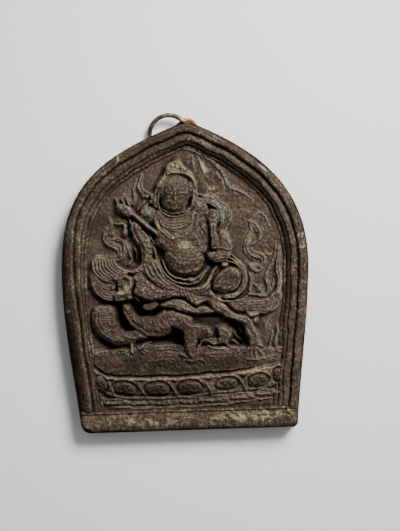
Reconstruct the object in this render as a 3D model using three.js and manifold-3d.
// Tsa-tsa amulet: a cast copper-alloy plaque that shows an armoured rider on a lion over a lotus
// seat, with a brass wire eye brazed behind its apex and a loose wire ring. Millimetres. The
// plaque lies on its back: +X is the viewer's right, +Y runs to the apex, +Z out of the face.
import * as THREE from 'three';
import * as BufferGeometryUtils from 'three/addons/utils/BufferGeometryUtils.js';
import Module from 'manifold-3d';

const wasm = await Module();
wasm.setup();

// Plaque
const PLAQUE_WIDTH = 59.6;
const PLAQUE_HEIGHT = 75.4;
const FIELD_LEVEL = 4.0;
const WALL_FOOT_LEVEL = 1.2;
const BACK_BEVEL = 1.1;
const WALL_DRAFT = 0.15;
const CORNER_RADIUS = 1.4;
const APEX_RADIUS = 2.6;
const GAP = 0.3;

// Frame mouldings round the arch, and the sill along the foot
const OUTER_RIM_WIDTH = 2.65;
const OUTER_RIM_LEVEL = 6.9;
const INNER_RIM_WIDTH = 2.0;
const INNER_RIM_LEVEL = 6.0;
const INNER_RIM_SLOPE = 1.0;
const SILL_WIDTH = 5.3;
const SILL_LEVEL = 6.5;
const SILL_CHAMFER = 0.7;

// Heights of the relief over the field
const HALO_RELIEF = 0.8;
const RIBBON_RELIEF = 1.5;
const SCARF_RELIEF = 2.2;
const PLATFORM_RELIEF = 2.0;
const PETAL_RELIEF = 3.3;
const SCROLL_RELIEF = 1.9;
const LION_RELIEF = 3.4;
const MANE_RELIEF = 2.9;
const TAIL_RELIEF = 2.2;
const TORSO_RELIEF = 4.2;
const BELLY_RELIEF = 4.9;
const HEAD_RELIEF = 4.6;
const ARM_RELIEF = 3.6;
const ROBE_RELIEF = 3.8;
const LEG_RELIEF = 4.4;

// Wire eye and hanging ring
const WIRE = 1.1;
const WIRE_CLEARANCE = 0.4;
const EYE_RADIUS = 2.0;
const EYE_ACROSS = 0.44;
const EYE_OVERHANG = 0.95;
const EYE_RISE = 0.72;
const BOW_LIFT = 0.1;
const RING_RADIUS = 4.65;
const RING_TILT = 11.5;
const RING_BEARING = 43;
const SEAT_LENGTH = 16;
const SEAT_TILT = 11.5;

// The outline and the relief are drawn on a sheet of this size, foot line at zero. The outline is
// stretched to the plaque, and the relief to the field that the frame and the sill leave free.
const SHEET = { width: 59.6, height: 75.4 };
const acrossScale = PLAQUE_WIDTH / SHEET.width;
const upScale = PLAQUE_HEIGHT / SHEET.height;
const onPlaque = ([x, y]) => new THREE.Vector2(x * acrossScale, y * upScale);

const innerRimStart = WALL_DRAFT + OUTER_RIM_WIDTH + GAP;
const fieldInset = innerRimStart + INNER_RIM_WIDTH + INNER_RIM_SLOPE;
const framedAcross = 2 * fieldInset;
const framedUp = SILL_WIDTH + fieldInset;
const fieldAcross = (PLAQUE_WIDTH - framedAcross) / (SHEET.width - framedAcross);
const fieldUp = (PLAQUE_HEIGHT - framedUp) / (SHEET.height - framedUp);
const strokeScale = Math.sqrt(fieldAcross * fieldUp);
const onField = ([x, y]) => (
  new THREE.Vector2(x * fieldAcross, SILL_WIDTH + (y - SILL_WIDTH) * fieldUp)
);

// Cutting blocks run from this level up to a level over everything.
const CUT_BASE = FIELD_LEVEL - 1;
const CUT_TOP = 2 * OUTER_RIM_LEVEL;

// Solids from geometry, and back
function solid(geometry) {
  const bare = geometry.clone();
  bare.deleteAttribute('normal');
  bare.deleteAttribute('uv');
  const merged = BufferGeometryUtils.mergeVertices(bare, 1e-5);
  return new wasm.Manifold(new wasm.Mesh({
    numProp: 3,
    vertProperties: Float32Array.from(merged.attributes.position.array),
    triVerts: Uint32Array.from(merged.index.array),
  }));
}

function geometryOf(shape) {
  const mesh = shape.getMesh();
  const geometry = new THREE.BufferGeometry();
  geometry.setAttribute('position', new THREE.BufferAttribute(mesh.vertProperties, 3));
  geometry.setIndex(new THREE.BufferAttribute(mesh.triVerts, 1));
  geometry.computeVertexNormals();
  return geometry;
}

const joinAll = (shapes) => shapes.reduce((whole, shape) => whole.add(shape));

// A cut can leave a loose chip beside the piece. The piece is the largest body.
function largestBody(shape) {
  return shape.decompose().reduce((best, body) => (body.volume() > best.volume() ? body : best));
}

// A closed surface through rings of points, each ring with as many points as the next.
function loft(rings) {
  const count = rings[0].length;
  const positions = rings.flat().flatMap((point) => [point.x, point.y, point.z]);
  const index = [];
  for (let ring = 0; ring < rings.length - 1; ring += 1) {
    for (let step = 0; step < count; step += 1) {
      const a = ring * count + step;
      const b = ring * count + ((step + 1) % count);
      index.push(a, b, b + count, a, b + count, a + count);
    }
  }
  capRing(rings[0], 0, index, true);
  capRing(rings.at(-1), (rings.length - 1) * count, index, false);
  const geometry = new THREE.BufferGeometry();
  geometry.setAttribute('position', new THREE.Float32BufferAttribute(positions, 3));
  geometry.setIndex(index);
  return geometry;
}

// The flat end of a loft, cut into triangles in the plane that the ring lies in.
function capRing(ring, first, index, facesBack) {
  const normal = new THREE.Vector3();
  ring.forEach((point, at) => normal.add(point.clone().cross(ring[(at + 1) % ring.length])));
  normal.normalize();
  const side = Math.abs(normal.z) > 0.9 ? new THREE.Vector3(1, 0, 0) : new THREE.Vector3(0, 0, 1);
  const across = side.cross(normal).normalize();
  const up = normal.clone().cross(across);
  const flat = ring.map((point) => new THREE.Vector2(point.dot(across), point.dot(up)));
  for (const [a, b, c] of THREE.ShapeUtils.triangulateShape(flat, [])) {
    if (facesBack) index.push(first + a, first + c, first + b);
    else index.push(first + a, first + b, first + c);
  }
}

const lifted = (points, level) => points.map((point) => new THREE.Vector3(point.x, point.y, level));

// Outline of the plaque: two curves a side from the apex, straight foot, round corners
const apex = onPlaque([0.3, 75.0]);
const leftFoot = onPlaque([-24.5, -0.4]);
const rightFoot = onPlaque([27.0, 1.3]);

function sideCurve(controls) {
  const curve = new THREE.CurvePath();
  curve.add(new THREE.CubicBezierCurve(...controls.slice(0, 4).map(onPlaque)));
  curve.add(new THREE.CubicBezierCurve(...controls.slice(3).map(onPlaque)));
  return curve;
}

const rightSide = sideCurve([
  [0.3, 75.0], [15.6, 68.7], [29.7, 60.8], [29.7, 40.0],
  [29.7, 28.0], [27.7, 14.0], [27.0, 1.3],
]);
const leftSide = sideCurve([
  [0.3, 75.0], [-19.5, 67.0], [-29.9, 60.4], [-29.9, 40.0],
  [-29.9, 26.0], [-26.2, 13.0], [-24.5, -0.4],
]);
const SIDE_STEPS = 21;

// A corner of a line turned into a short curve
const CORNER_STEPS = 4;

function roundCorner(before, corner, after, radius) {
  const start = corner.clone().add(before.clone().sub(corner).setLength(radius));
  const end = corner.clone().add(after.clone().sub(corner).setLength(radius));
  return new THREE.QuadraticBezierCurve(start, corner, end).getPoints(CORNER_STEPS);
}

// The arch from the left foot over the rounded apex to the right foot
const leftLine = leftSide.getSpacedPoints(SIDE_STEPS).reverse();
const rightLine = rightSide.getSpacedPoints(SIDE_STEPS);
const archLine = [
  ...leftLine.slice(0, -1),
  ...roundCorner(leftLine.at(-2), apex, rightLine[1], APEX_RADIUS),
  ...rightLine.slice(1),
];

const outline = [
  ...archLine.slice(1, -1),
  ...roundCorner(archLine.at(-2), rightFoot, leftFoot, CORNER_RADIUS),
  ...roundCorner(rightFoot, leftFoot, archLine[1], CORNER_RADIUS),
];

// The direction into the plaque at a point between two others of a line that runs clockwise
function inwardAt(before, after) {
  const along = after.clone().sub(before).normalize();
  return new THREE.Vector2(along.y, -along.x);
}

// Moves a closed line that runs clockwise inwards by a distance.
function inset(line, distance) {
  return line.map((point, at) => {
    const arrive = inwardAt(line.at(at - 1), point);
    const leave = inwardAt(point, line[(at + 1) % line.length]);
    const bisector = arrive.clone().add(leave).normalize();
    return point.clone().addScaledVector(bisector, distance / bisector.dot(arrive));
  });
}

// The mouldings follow the arch, run on past the sill, and turn gently at the apex: their
// direction inwards is an average over this length of the arch.
const APEX_SOFTNESS = 4;
const RUN_ON = 4;
const runOn = (end, next) => end.clone().add(end.clone().sub(next).setLength(RUN_ON));
const spine = [
  runOn(archLine[0], archLine[1]), ...archLine, runOn(archLine.at(-1), archLine.at(-2)),
];
const spineInward = spine.map((point) => {
  const sum = new THREE.Vector2();
  for (let at = 1; at < spine.length; at += 1) {
    const span = spine[at].distanceTo(spine[at - 1]);
    const away = point.distanceTo(spine[at].clone().lerp(spine[at - 1], 0.5)) / APEX_SOFTNESS;
    sum.addScaledVector(inwardAt(spine[at - 1], spine[at]), span * Math.exp(-away * away));
  }
  return sum.normalize();
});
const insetArch = (distance) => spine.map((point, at) => (
  point.clone().addScaledVector(spineInward[at], distance)
));

// Rings wind the other way round, so that the faces of a loft point out.
const ringOf = (line, level) => lifted([...line].reverse(), level);

function backingPlate() {
  const slab = solid(loft([
    ringOf(inset(outline, BACK_BEVEL), 0),
    ringOf(outline, WALL_FOOT_LEVEL),
    ringOf(inset(outline, WALL_DRAFT), FIELD_LEVEL),
  ]));
  return slab.subtract(ringSeat());
}

// The back slopes up towards the apex, so that the eye and the ring tuck in behind it.
const seatFoot = new THREE.Vector3(apex.x, apex.y - SEAT_LENGTH, 0);
const seatSlope = Math.tan(THREE.MathUtils.degToRad(SEAT_TILT));

function ringSeat() {
  const depth = 2 * SEAT_LENGTH;
  const block = new THREE.BoxGeometry(2 * PLAQUE_WIDTH, depth, depth);
  block.translate(0, depth / 2, -depth / 2);
  block.rotateX(THREE.MathUtils.degToRad(SEAT_TILT));
  block.translate(seatFoot.x, seatFoot.y, seatFoot.z);
  return solid(block);
}

// A moulding that follows the arch: its section is a list of [inset, level].
function archMoulding(section) {
  const rails = section.map(([distance, level]) => lifted(insetArch(distance), level));
  const rings = spine.map((_, at) => rails.map((rail) => rail[at]));
  return solid(loft(rings)).subtract(belowSill());
}

function outerRim() {
  const width = OUTER_RIM_WIDTH;
  const lip = OUTER_RIM_LEVEL;
  return archMoulding([
    [WALL_DRAFT, FIELD_LEVEL],
    [WALL_DRAFT + 0.1, lip - 0.9],
    [WALL_DRAFT + width * 0.18, lip - 0.25],
    [WALL_DRAFT + width * 0.5, lip],
    [WALL_DRAFT + width * 0.8, lip - 0.25],
    [WALL_DRAFT + width * 0.97, lip - 1.0],
    [WALL_DRAFT + width, FIELD_LEVEL],
  ]);
}

function innerRim() {
  const start = innerRimStart;
  const lip = INNER_RIM_LEVEL;
  return archMoulding([
    [start, FIELD_LEVEL],
    [start + 0.08, lip - 0.6],
    [start + INNER_RIM_WIDTH * 0.25, lip],
    [start + INNER_RIM_WIDTH * 0.75, lip],
    [start + INNER_RIM_WIDTH, lip - 0.4],
    [start + INNER_RIM_WIDTH + INNER_RIM_SLOPE * 0.5, lip - 1.2],
    [fieldInset, FIELD_LEVEL],
  ]);
}

// The foot line's direction, and its normal that points up the plaque
const footLine = rightFoot.clone().sub(leftFoot).normalize();
const footNormal = new THREE.Vector2(-footLine.y, footLine.x);

// A block over the foot of the plaque: its upper side lies this far above the foot line.
function footBlock(levels) {
  const far = PLAQUE_WIDTH;
  const rings = levels.map(([reach, level]) => {
    const left = leftFoot.clone().addScaledVector(footLine, -far).addScaledVector(footNormal, reach);
    const right = rightFoot.clone().addScaledVector(footLine, far).addScaledVector(footNormal, reach);
    const low = footNormal.clone().multiplyScalar(-far);
    return lifted([left, left.clone().add(low), right.clone().add(low), right], level);
  });
  return solid(loft(rings));
}

function belowSill() {
  const reach = SILL_WIDTH + GAP;
  return footBlock([[reach, CUT_BASE], [reach, CUT_TOP]]);
}

function bottomSill() {
  const chamfers = [[0, FIELD_LEVEL], [0, SILL_LEVEL - SILL_CHAMFER],
    [SILL_CHAMFER * 0.45, SILL_LEVEL - SILL_CHAMFER * 0.25], [SILL_CHAMFER, SILL_LEVEL]];
  const sides = solid(loft(chamfers.map(([distance, level]) => (
    ringOf(inset(outline, WALL_DRAFT + distance), level)
  ))));
  return sides.intersect(footBlock(chamfers.map(([distance, level]) => [SILL_WIDTH - distance, level])));
}

// A rounded ridge that stands on the field and follows a line drawn on the sheet. Its width
// falls to a share of itself at each end. grow makes the wider copy that cuts its neighbours.
const RIDGE_STEP = 1.5;
const RIDGE_SIDES = 4;
const RIDGE_END = 0.45;
const RIDGE_TAPER = 0.25;
const RIDGE_SHOULDER = 0.35;

function ridge(points, width, height, grow, ends = [RIDGE_END, RIDGE_END]) {
  const flat = points.map((point) => onField(point));
  const curve = new THREE.CatmullRomCurve3(lifted(flat, 0), false, 'centripetal');
  const steps = Math.max(3, Math.round(curve.getLength() / RIDGE_STEP));
  const base = grow > 0 ? CUT_BASE : FIELD_LEVEL;
  const rings = [];
  for (let step = 0; step <= steps; step += 1) {
    const along = step / steps;
    const at = curve.getPointAt(along);
    const tangent = curve.getTangentAt(along);
    if (step === 0) at.addScaledVector(tangent, -grow);
    if (step === steps) at.addScaledVector(tangent, grow);
    const share = along < 0.5
      ? THREE.MathUtils.lerp(ends[0], 1, Math.min(1, along / RIDGE_TAPER))
      : THREE.MathUtils.lerp(ends[1], 1, Math.min(1, (1 - along) / RIDGE_TAPER));
    const half = (width * strokeScale * share) / 2 + grow;
    const top = FIELD_LEVEL + height * ((1 + share) / 2) + grow;
    const side = new THREE.Vector3(tangent.y, -tangent.x, 0);
    const ring = [];
    for (let turn = 0; turn <= RIDGE_SIDES; turn += 1) {
      const angle = (Math.PI * turn) / RIDGE_SIDES;
      const out = half * Math.cos(angle);
      const up = THREE.MathUtils.lerp(base, top, THREE.MathUtils.lerp(RIDGE_SHOULDER, 1, Math.sin(angle)));
      ring.push(at.clone().addScaledVector(side, out).setZ(up));
    }
    const foot = at.clone().addScaledVector(side, half).setZ(base);
    const farFoot = at.clone().addScaledVector(side, -half).setZ(base);
    rings.push([foot, ...ring, farFoot].reverse());
  }
  return solid(loft(rings));
}

// A rounded mass that stands on the field inside a closed line drawn on the sheet.
const MASS_SHARES = [1, 0.96, 0.8, 0.5];
const MASS_EDGE = 0.3;

function massInside(line, height, grow) {
  const centre = line.reduce((sum, point) => sum.add(point), new THREE.Vector2());
  centre.divideScalar(line.length);
  const base = grow > 0 ? CUT_BASE : FIELD_LEVEL;
  const ringAt = (share, level) => lifted(line.map((point) => {
    const arm = point.clone().sub(centre);
    return centre.clone().add(arm.setLength(arm.length() * share + grow));
  }), level);
  const rings = [ringAt(1, base)];
  for (const share of MASS_SHARES) {
    const rise = THREE.MathUtils.lerp(MASS_EDGE, 1, Math.sqrt(1 - share * share));
    rings.push(ringAt(share, FIELD_LEVEL + grow + height * rise));
  }
  return solid(loft(rings));
}

function mass(points, height, grow, count = 16) {
  const flat = points.map((point) => onField(point));
  const curve = new THREE.CatmullRomCurve3(lifted(flat, 0), true, 'centripetal');
  const line = curve.getSpacedPoints(count).slice(0, -1).map((point) => new THREE.Vector2(point.x, point.y));
  if (THREE.ShapeUtils.area(line) < 0) line.reverse();
  return massInside(line, height, grow);
}

function oval([x, y], halfWidth, halfHeight, height, grow, turn = 0, count = 12) {
  const centre = onField([x, y]);
  const line = [];
  for (let step = 0; step < count; step += 1) {
    const angle = (2 * Math.PI * step) / count;
    const arm = new THREE.Vector2(
      halfWidth * fieldAcross * Math.cos(angle), halfHeight * fieldUp * Math.sin(angle),
    );
    arm.rotateAround(new THREE.Vector2(), THREE.MathUtils.degToRad(turn));
    line.push(centre.clone().add(arm));
  }
  return massInside(line, height, grow);
}

// Relief pieces. Each is a function of the grow distance, and earlier ones cut later ones.
const relief = {
  figure_head: (grow) => joinAll([
    oval([-2.7, 57.0], 3.5, 4.4, HEAD_RELIEF, grow),
    oval([-7.2, 55.8], 0.9, 2.2, HEAD_RELIEF - 1.4, grow, 0, 8),
    oval([1.5, 56.0], 0.9, 2.3, HEAD_RELIEF - 1.4, grow, 0, 8),
    ridge([[-7.2, 56.0], [-4.0, 57.0], [-1.0, 57.0], [1.5, 56.4]], 2.0, HEAD_RELIEF - 2.2, grow),
  ]),
  crown: (grow) => joinAll([
    mass([[-6.7, 59.6], [-5.2, 63.0], [-3.6, 65.0], [-2.1, 66.1], [-0.6, 65.0], [0.9, 63.2],
      [2.0, 60.4], [0.2, 61.4], [-2.6, 62.0], [-5.0, 61.0]], HEAD_RELIEF - 0.9, grow, 18),
    ridge([[-6.5, 59.6], [-5.2, 61.6], [-2.6, 62.6], [0.2, 62.0], [1.8, 60.3]], 1.3, HEAD_RELIEF - 0.3, grow),
  ]),
  collar: (grow) => ridge([[-6.6, 54.0], [-5.0, 52.2], [-2.7, 51.5], [-0.6, 52.4], [0.8, 54.0]],
    1.0, TORSO_RELIEF - 0.1, grow, [0.7, 0.7]),
  necklace: (grow) => joinAll([
    ridge([[-6.4, 51.4], [-4.6, 49.7], [-2.6, 49.1], [-0.6, 49.7], [1.2, 51.5]], 0.9, TORSO_RELIEF, grow),
    oval([-2.5, 48.4], 0.9, 0.9, TORSO_RELIEF + 0.1, grow, 0, 8),
    oval([-2.4, 47.1], 0.7, 0.8, TORSO_RELIEF, grow, 0, 8),
  ]),
  belly: (grow) => oval([-0.4, 41.5], 4.7, 4.3, BELLY_RELIEF, grow, 0, 16),
  raised_arm: (grow) => joinAll([
    ridge([[-6.6, 46.6], [-9.2, 48.7], [-11.8, 51.2], [-13.6, 52.9]], 2.4, ARM_RELIEF, grow, [0.8, 0.8]),
    oval([-15.0, 53.7], 2.1, 1.6, ARM_RELIEF, grow, -35, 10),
  ]),
  lowered_arm: (grow) => joinAll([
    ridge([[6.6, 51.6], [7.0, 48.5], [7.0, 44.2]], 2.1, ARM_RELIEF, grow, [0.9, 0.8]),
    oval([6.3, 52.2], 1.7, 1.7, ARM_RELIEF + 0.2, grow, 0, 10),
  ]),
  mongoose: (grow) => joinAll([
    oval([9.7, 45.8], 1.7, 2.1, ARM_RELIEF - 0.2, grow, 0, 10),
    oval([8.6, 42.4], 2.9, 1.7, ARM_RELIEF - 0.4, grow, 8, 12),
  ]),
  figure_torso: (grow) => joinAll([
    mass([[-8.2, 50.2], [-6.6, 52.4], [-2.6, 53.2], [1.6, 53.0], [4.6, 51.2], [5.0, 47.0],
      [4.6, 43.5], [-0.5, 42.5], [-5.4, 43.6], [-7.2, 46.8]], TORSO_RELIEF - 0.7, grow, 20),
    oval([-9.0, 52.0], 2.3, 2.3, ARM_RELIEF - 0.3, grow, 0, 10),
    oval([3.4, 52.6], 1.9, 2.3, ARM_RELIEF - 0.4, grow, 0, 10),
  ]),
  belt: (grow) => ridge([[-5.9, 40.5], [-4.6, 37.9], [-2.0, 36.6], [1.2, 36.4], [4.2, 37.7],
    [5.9, 40.2]], 1.4, BELLY_RELIEF - 1.2, grow, [0.8, 0.8]),
  bent_knee: (grow) => mass([[5.6, 34.4], [6.6, 37.2], [9.2, 39.5], [12.2, 39.8], [13.4, 38.3],
    [13.0, 36.0], [11.4, 33.7], [8.6, 33.2]], LEG_RELIEF, grow, 16),
  robe: (grow) => mass([[-8.4, 41.2], [-6.2, 38.6], [-3.4, 36.4], [0.8, 35.6], [4.2, 36.4],
    [5.4, 34.2], [8.0, 32.3], [5.4, 31.9], [2.6, 30.5], [-0.6, 32.4], [-4.6, 33.2], [-8.2, 36.0],
    [-10.2, 38.6]], ROBE_RELIEF - 0.3, grow, 24),
  robe_hem: (grow) => ridge([[8.2, 32.2], [10.6, 31.7], [13.6, 32.8], [15.0, 36.0], [14.2, 40.0],
    [12.6, 41.4]], 1.6, ROBE_RELIEF - 1.0, grow),
  banner_staff: (grow) => joinAll([
    ridge([[-16.6, 55.6], [-14.4, 57.4], [-12.3, 59.8], [-10.9, 62.6]], 1.0, RIBBON_RELIEF - 0.5, grow),
    ridge([[-12.4, 56.2], [-12.5, 58.6], [-11.6, 61.4]], 0.8, RIBBON_RELIEF - 0.6, grow),
  ]),
  hanging_sleeve: (grow) => joinAll([
    ridge([[-11.2, 49.2], [-12.3, 46.4], [-11.4, 43.4], [-9.9, 41.0]], 2.2, ARM_RELIEF - 1.5, grow),
    ridge([[-9.7, 46.2], [-9.0, 43.2], [-9.6, 40.0], [-11.2, 38.2], [-13.0, 38.6], [-14.4, 40.0]],
      1.2, SCARF_RELIEF + 0.3, grow),
  ]),
  ribbon_hook: (grow) => ridge([[-15.2, 52.0], [-14.3, 50.4], [-14.2, 48.2], [-15.0, 47.0],
    [-15.9, 48.4], [-15.8, 49.6], [-17.0, 50.2]], 0.95, RIBBON_RELIEF, grow),
  left_ribbon: (grow) => joinAll([
    ridge([[-18.2, 50.8], [-17.6, 49.4], [-19.0, 48.2], [-19.3, 46.8], [-18.4, 45.2],
      [-16.6, 44.3], [-15.7, 42.8], [-16.6, 41.8]], 1.3, RIBBON_RELIEF, grow),
    ridge([[-17.9, 45.6], [-16.0, 45.9], [-14.6, 45.1], [-14.4, 43.4], [-15.4, 41.9],
      [-17.2, 41.6], [-18.6, 42.0]], 1.0, RIBBON_RELIEF - 0.3, grow),
  ]),
  inner_scarf: (grow) => ridge([[4.6, 54.9], [6.8, 54.2], [8.4, 52.6], [8.8, 50.8], [8.2, 48.8]],
    1.0, SCARF_RELIEF + 0.4, grow),
  outer_scarf: (grow) => ridge([[3.6, 56.3], [5.6, 56.7], [7.6, 55.6], [9.6, 54.3], [10.5, 52.2],
    [9.8, 49.3]], 1.2, SCARF_RELIEF, grow),
  right_ribbon: (grow) => ridge([[16.2, 50.2], [17.4, 48.6], [17.4, 46.9], [15.4, 45.6],
    [14.9, 43.9], [16.2, 42.2], [18.2, 41.6], [18.3, 39.6], [16.0, 38.6]], 1.2, RIBBON_RELIEF, grow),
  ribbon_fall: (grow) => joinAll([
    ridge([[15.6, 38.9], [15.9, 36.8], [15.4, 34.6], [15.4, 33.2]], 1.0, RIBBON_RELIEF, grow),
    ridge([[19.2, 42.4], [20.7, 41.2], [20.0, 38.8], [19.4, 36.4], [20.3, 34.2], [19.4, 32.9],
      [17.0, 32.8], [15.2, 33.4]], 1.0, RIBBON_RELIEF, grow),
  ]),
  lion_mane: (grow) => joinAll([
    mass([[-22.9, 39.0], [-21.0, 41.4], [-17.8, 40.8], [-14.6, 38.9], [-15.2, 36.8], [-16.4, 34.0],
      [-17.6, 32.2], [-20.4, 33.0], [-22.5, 36.0]], MANE_RELIEF - 1.3, grow, 18),
    ridge([[-21.9, 41.2], [-21.4, 38.8], [-19.8, 36.8], [-17.0, 36.2]], 1.2, MANE_RELIEF - 0.5, grow),
    ridge([[-20.8, 41.6], [-20.2, 39.2], [-18.6, 37.3], [-16.2, 37.0]], 1.2, MANE_RELIEF, grow),
    ridge([[-19.6, 41.4], [-18.8, 39.4], [-17.2, 38.0], [-15.2, 37.8]], 1.2, MANE_RELIEF, grow),
    ridge([[-18.0, 41.0], [-17.0, 39.6], [-15.4, 38.8], [-13.4, 38.6]], 1.0, MANE_RELIEF - 0.4, grow),
    ridge([[-22.6, 37.4], [-21.6, 34.8], [-19.8, 33.2], [-17.2, 32.6]], 1.2, MANE_RELIEF - 0.6, grow),
    ridge([[-21.8, 38.2], [-20.8, 35.8], [-19.0, 34.4], [-17.0, 34.2]], 1.1, MANE_RELIEF - 0.5, grow),
    ridge([[-17.4, 37.6], [-17.0, 35.6], [-16.4, 33.6]], 1.6, MANE_RELIEF - 0.3, grow),
  ]),
  lion_head: (grow) => joinAll([
    mass([[-16.4, 36.6], [-14.2, 37.2], [-12.6, 36.2], [-12.9, 34.2], [-14.2, 32.8],
      [-15.8, 32.8], [-16.8, 34.4]], LION_RELIEF, grow, 14),
    oval([-13.8, 32.6], 1.0, 1.0, LION_RELIEF - 0.6, grow, 0, 8),
  ]),
  lion_body: (grow) => joinAll([
    mass([[-12.8, 36.8], [-10.2, 37.4], [-6.4, 35.6], [-3.0, 34.4], [-1.0, 32.6], [-4.0, 31.8],
      [-7.4, 31.9], [-10.0, 33.2], [-12.6, 34.0]], LION_RELIEF + 0.2, grow, 20),
    mass([[-6.4, 30.4], [-3.0, 32.0], [1.6, 30.7], [5.4, 29.0], [2.0, 28.3], [-3.0, 28.9]],
      LION_RELIEF - 0.2, grow, 16),
    ridge([[-9.9, 30.7], [-7.6, 30.8], [-5.0, 31.2]], 1.5, LION_RELIEF - 1.3, grow),
  ]),
  lion_chest: (grow) => joinAll([
    ridge([[-15.3, 30.2], [-13.7, 27.2], [-10.6, 25.3], [-6.2, 24.3]], 2.9, LION_RELIEF, grow, [0.7, 0.8]),
    ridge([[-12.3, 28.4], [-9.6, 26.9], [-6.6, 26.8]], 2.2, LION_RELIEF - 0.3, grow, [0.8, 0.9]),
  ]),
  lion_snout: (grow) => joinAll([
    mass([[-20.4, 29.8], [-17.6, 30.0], [-16.5, 28.4], [-16.2, 26.4], [-14.6, 24.8], [-12.8, 24.2],
      [-10.4, 22.9], [-12.0, 21.2], [-14.6, 20.6], [-17.2, 21.4], [-19.8, 23.6], [-21.9, 26.6],
      [-21.6, 28.6]], LION_RELIEF - 0.2, grow, 24),
    ridge([[-15.4, 24.6], [-13.4, 23.6], [-11.0, 22.9], [-9.4, 22.9]], 1.7, LION_RELIEF - 0.5, grow),
  ]),
  front_claw: (grow) => joinAll([
    oval([-11.6, 19.4], 1.7, 1.3, LION_RELIEF - 1.4, grow, 0, 10),
    ridge([[-9.4, 21.2], [-10.0, 19.8], [-10.6, 18.2]], 1.4, LION_RELIEF - 1.2, grow),
    ridge([[-15.4, 19.8], [-13.6, 19.6], [-12.4, 18.6]], 1.4, LION_RELIEF - 1.8, grow),
  ]),
  fore_leg: (grow) => joinAll([
    mass([[-4.6, 28.6], [-0.6, 28.7], [1.0, 27.6], [0.9, 26.0], [-0.6, 25.1], [-3.2, 25.4],
      [-4.8, 26.8]], LION_RELIEF + 0.3, grow, 14),
    ridge([[-0.2, 26.4], [0.9, 24.2], [1.0, 21.6], [0.8, 18.9]], 2.9, LION_RELIEF, grow, [0.9, 0.9]),
    ridge([[-1.6, 18.6], [0.4, 18.0], [2.6, 18.8]], 1.8, LION_RELIEF - 0.8, grow),
  ]),
  middle_leg: (grow) => joinAll([
    ridge([[2.4, 26.0], [5.0, 25.2], [6.2, 23.8], [4.6, 22.2]], 2.6, LION_RELIEF - 0.4, grow),
    mass([[5.0, 22.6], [7.6, 25.0], [9.4, 25.3], [11.0, 23.8], [11.8, 21.8], [10.2, 20.5],
      [6.8, 20.4]], LION_RELIEF - 0.1, grow, 14),
  ]),
  hind_leg: (grow) => mass([[6.0, 31.6], [9.0, 30.8], [12.4, 30.6], [15.4, 28.6], [17.0, 26.0],
    [18.4, 22.8], [17.0, 21.0], [15.6, 21.4], [14.8, 24.4], [12.4, 26.4], [9.0, 27.6], [7.4, 29.4]],
  LION_RELIEF + 0.2, grow, 22),
  hind_paw: (grow) => ridge([[14.6, 20.0], [17.2, 19.5], [20.2, 19.3]], 2.3, LION_RELIEF - 0.8, grow),
  lion_tail: (grow) => joinAll([
    ridge([[9.4, 33.2], [12.0, 31.4], [15.6, 30.9], [19.2, 30.6], [22.4, 31.8], [23.1, 35.2],
      [22.5, 38.6], [22.2, 42.0], [22.9, 44.8]], 1.5, TAIL_RELIEF, grow),
    ridge([[15.8, 28.8], [18.6, 28.7], [21.6, 29.6]], 1.0, TAIL_RELIEF - 0.5, grow),
    ridge([[20.6, 29.4], [22.0, 30.6], [22.6, 32.4]], 1.0, TAIL_RELIEF - 0.5, grow),
  ]),
  tail_flame: (grow) => joinAll([
    ridge([[21.7, 20.2], [21.9, 22.6], [22.6, 24.8], [22.3, 27.0]], 1.4, TAIL_RELIEF - 0.4, grow),
    oval([21.8, 19.4], 1.6, 1.1, TAIL_RELIEF - 0.2, grow, 0, 10),
  ]),
  lotus_petals: (grow) => {
    const petals = [[-20.0, 11.8, -24], [-14.7, 11.3, -12], [-6.5, 11.0, -3], [1.4, 11.4, 3],
      [10.1, 12.1, 8], [17.7, 13.2, 13], [22.4, 14.6, 20]];
    const ovals = petals.map(([x, y, turn], at) => {
      const half = at === 0 || at === petals.length - 1 ? 2.4 : 3.4;
      return oval([x, y], half, 2.1, PETAL_RELIEF, grow, turn, 12);
    });
    const band = ridge([[-21.4, 12.9], [-18.0, 11.4], [-11.0, 10.9], [-2.4, 11.0], [5.8, 11.6],
      [14.0, 12.6], [22.6, 14.6]], 3.4, PETAL_RELIEF - 0.6, grow, [0.8, 0.8]);
    return joinAll([band, ...ovals]);
  },
  lotus_platform: (grow) => mass([[-22.1, 16.9], [-19.4, 15.2], [-14.0, 14.0], [-6.0, 13.8],
    [2.0, 14.0], [9.0, 14.9], [16.0, 15.8], [23.6, 17.8], [22.2, 18.6], [14.0, 18.0], [6.0, 18.0],
    [-3.0, 17.6], [-12.0, 18.0], [-18.6, 18.6]], PLATFORM_RELIEF + 0.4, grow, 36),
  lotus_scrolls: (grow) => {
    const scrolls = [[-16.2, 7.3], [-9.4, 7.0], [-2.2, 7.3], [4.8, 7.8], [11.8, 8.3], [18.8, 9.0]];
    const ovals = scrolls.map((at) => oval(at, 3.1, 0.9, SCROLL_RELIEF, grow, 3, 10));
    const band = ridge([[-19.0, 7.0], [-8.0, 6.9], [2.0, 7.4], [12.0, 8.2], [22.0, 9.3]],
      1.1, SCROLL_RELIEF - 0.3, grow);
    return joinAll([band, ...ovals]);
  },
  halo: (grow) => ridge([[-3.4, 67.9], [0.2, 68.2], [3.0, 67.2], [5.6, 65.6], [8.2, 63.2],
    [9.6, 60.8], [10.4, 58.9], [13.0, 57.8], [16.2, 55.6]], 0.9, HALO_RELIEF, grow),
};

// The frame cuts the relief that runs under it.
function frameCut() {
  const line = insetArch(fieldInset + GAP);
  const hole = solid(loft([ringOf(line, 0), ringOf(line, 2 * CUT_TOP)]));
  const depth = CUT_TOP - CUT_BASE;
  const block = new THREE.BoxGeometry(3 * PLAQUE_WIDTH, 3 * PLAQUE_HEIGHT, depth);
  block.translate(0, PLAQUE_HEIGHT / 2, CUT_BASE + depth / 2);
  return solid(block).subtract(hole).add(belowSill());
}

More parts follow.
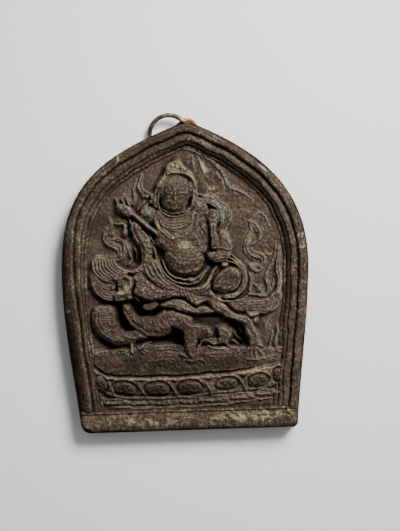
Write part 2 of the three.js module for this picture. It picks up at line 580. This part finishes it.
function boxesMeet(one, other) {
  const a = one.boundingBox();
  const b = other.boundingBox();
  return [0, 1].every((axis) => a.min[axis] < b.max[axis] && b.min[axis] < a.max[axis]);
}

function reliefPieces() {
  const frame = frameCut();
  const cutters = [];
  return Object.entries(relief).map(([name, build]) => {
    let piece = build(0).subtract(frame);
    for (const cutter of cutters) {
      if (boxesMeet(piece, cutter)) piece = piece.subtract(cutter);
    }
    cutters.push(build(GAP));
    return [name, largestBody(piece)];
  });
}

// Eye and ring. The eye is a bow of wire in a plane that rises from its tip to the sloped back.
const eyeCentre = new THREE.Vector2(
  EYE_ACROSS * acrossScale, apex.y + EYE_OVERHANG - EYE_RADIUS - WIRE / 2,
);
const bowLevel = WIRE / 2 + BOW_LIFT;
const BOW_POINTS = 11;
const EYE_STEPS = 60;
const RING_SIDES = 8;
const RING_STEPS = 36;

function eyePoint(angle) {
  const reach = EYE_RADIUS * Math.sin(angle);
  const rise = (EYE_RADIUS - reach) * EYE_RISE;
  return new THREE.Vector3(
    eyeCentre.x + EYE_RADIUS * Math.cos(angle), eyeCentre.y + reach, bowLevel + rise,
  );
}

function wireSection() {
  const section = new THREE.Shape();
  section.absarc(0, 0, WIRE / 2, 0, 2 * Math.PI);
  return section;
}

function ringEye() {
  const bow = [];
  for (let step = 0; step <= BOW_POINTS; step += 1) bow.push(eyePoint((Math.PI * step) / BOW_POINTS));
  const drop = (end) => end.clone().add(new THREE.Vector3(0, -1, EYE_RISE).setLength(SEAT_LENGTH));
  const line = [drop(bow[0]), ...bow, drop(bow.at(-1))];
  const path = new THREE.CurvePath();
  path.add(new THREE.LineCurve3(line[0], line[1]));
  path.add(new THREE.CatmullRomCurve3(bow));
  path.add(new THREE.LineCurve3(line.at(-2), line.at(-1)));
  const wire = new THREE.ExtrudeGeometry(wireSection(), {
    steps: EYE_STEPS, extrudePath: path, bevelEnabled: false, curveSegments: 2,
  });
  return largestBody(solid(wire).subtract(aboveSeat()));
}

// Everything over the sloped back, for cutting the eye's legs flush with it
function aboveSeat() {
  const depth = 4 * SEAT_LENGTH;
  const block = new THREE.BoxGeometry(2 * PLAQUE_WIDTH, depth, depth);
  block.translate(0, 0, depth / 2);
  block.rotateX(THREE.MathUtils.degToRad(SEAT_TILT));
  block.translate(seatFoot.x, seatFoot.y, seatFoot.z);
  return solid(block);
}

// The ring crosses over the bow at this angle round the eye, and lies tucked under the plaque.
const CROSSING = THREE.MathUtils.degToRad(124);
const crossing = eyePoint(CROSSING).add(new THREE.Vector3(0, 0, WIRE + WIRE_CLEARANCE));

function hangingRing() {
  const bearing = THREE.MathUtils.degToRad(RING_BEARING);
  const away = new THREE.Vector3(-Math.cos(bearing), -Math.sin(bearing), 0);
  const geometry = new THREE.TorusGeometry(RING_RADIUS, WIRE / 2, RING_SIDES, RING_STEPS);
  const tilt = THREE.MathUtils.degToRad(RING_TILT);
  geometry.rotateX(tilt);
  const centre = crossing.clone().addScaledVector(away, RING_RADIUS);
  centre.z -= RING_RADIUS * Math.sin(bearing) * Math.tan(tilt);
  geometry.translate(centre.x, centre.y, centre.z);
  return solid(geometry);
}

// Finishes
const bronze = new THREE.MeshStandardMaterial({ color: 0x5a463b, roughness: 0.5, metalness: 0.85 });
const wornBronze = new THREE.MeshStandardMaterial({ color: 0x8a7a66, roughness: 0.45, metalness: 0.85 });
const brass = new THREE.MeshStandardMaterial({ color: 0xc08a3c, roughness: 0.3, metalness: 0.95 });
const ringBronze = new THREE.MeshStandardMaterial({ color: 0x6b5340, roughness: 0.45, metalness: 0.9 });
const wornPieces = ['bottom_sill', 'lotus_petals', 'lion_mane'];

const pieces = [
  ['backing_plate', backingPlate()],
  ['outer_rim', outerRim()],
  ['inner_rim', innerRim()],
  ['bottom_sill', bottomSill()],
  ...reliefPieces(),
  ['ring_eye', ringEye()],
  ['hanging_ring', hangingRing()],
];

function materialOf(name) {
  if (name === 'ring_eye') return brass;
  if (name === 'hanging_ring') return ringBronze;
  return wornPieces.includes(name) ? wornBronze : bronze;
}

const amulet = new THREE.Group();
amulet.position.set(0, -PLAQUE_HEIGHT / 2, 0);
for (const [name, shape] of pieces) {
  const mesh = new THREE.Mesh(geometryOf(shape), materialOf(name));
  mesh.name = name;
  amulet.add(mesh);
}
amulet.updateMatrixWorld(true);

export default amulet;
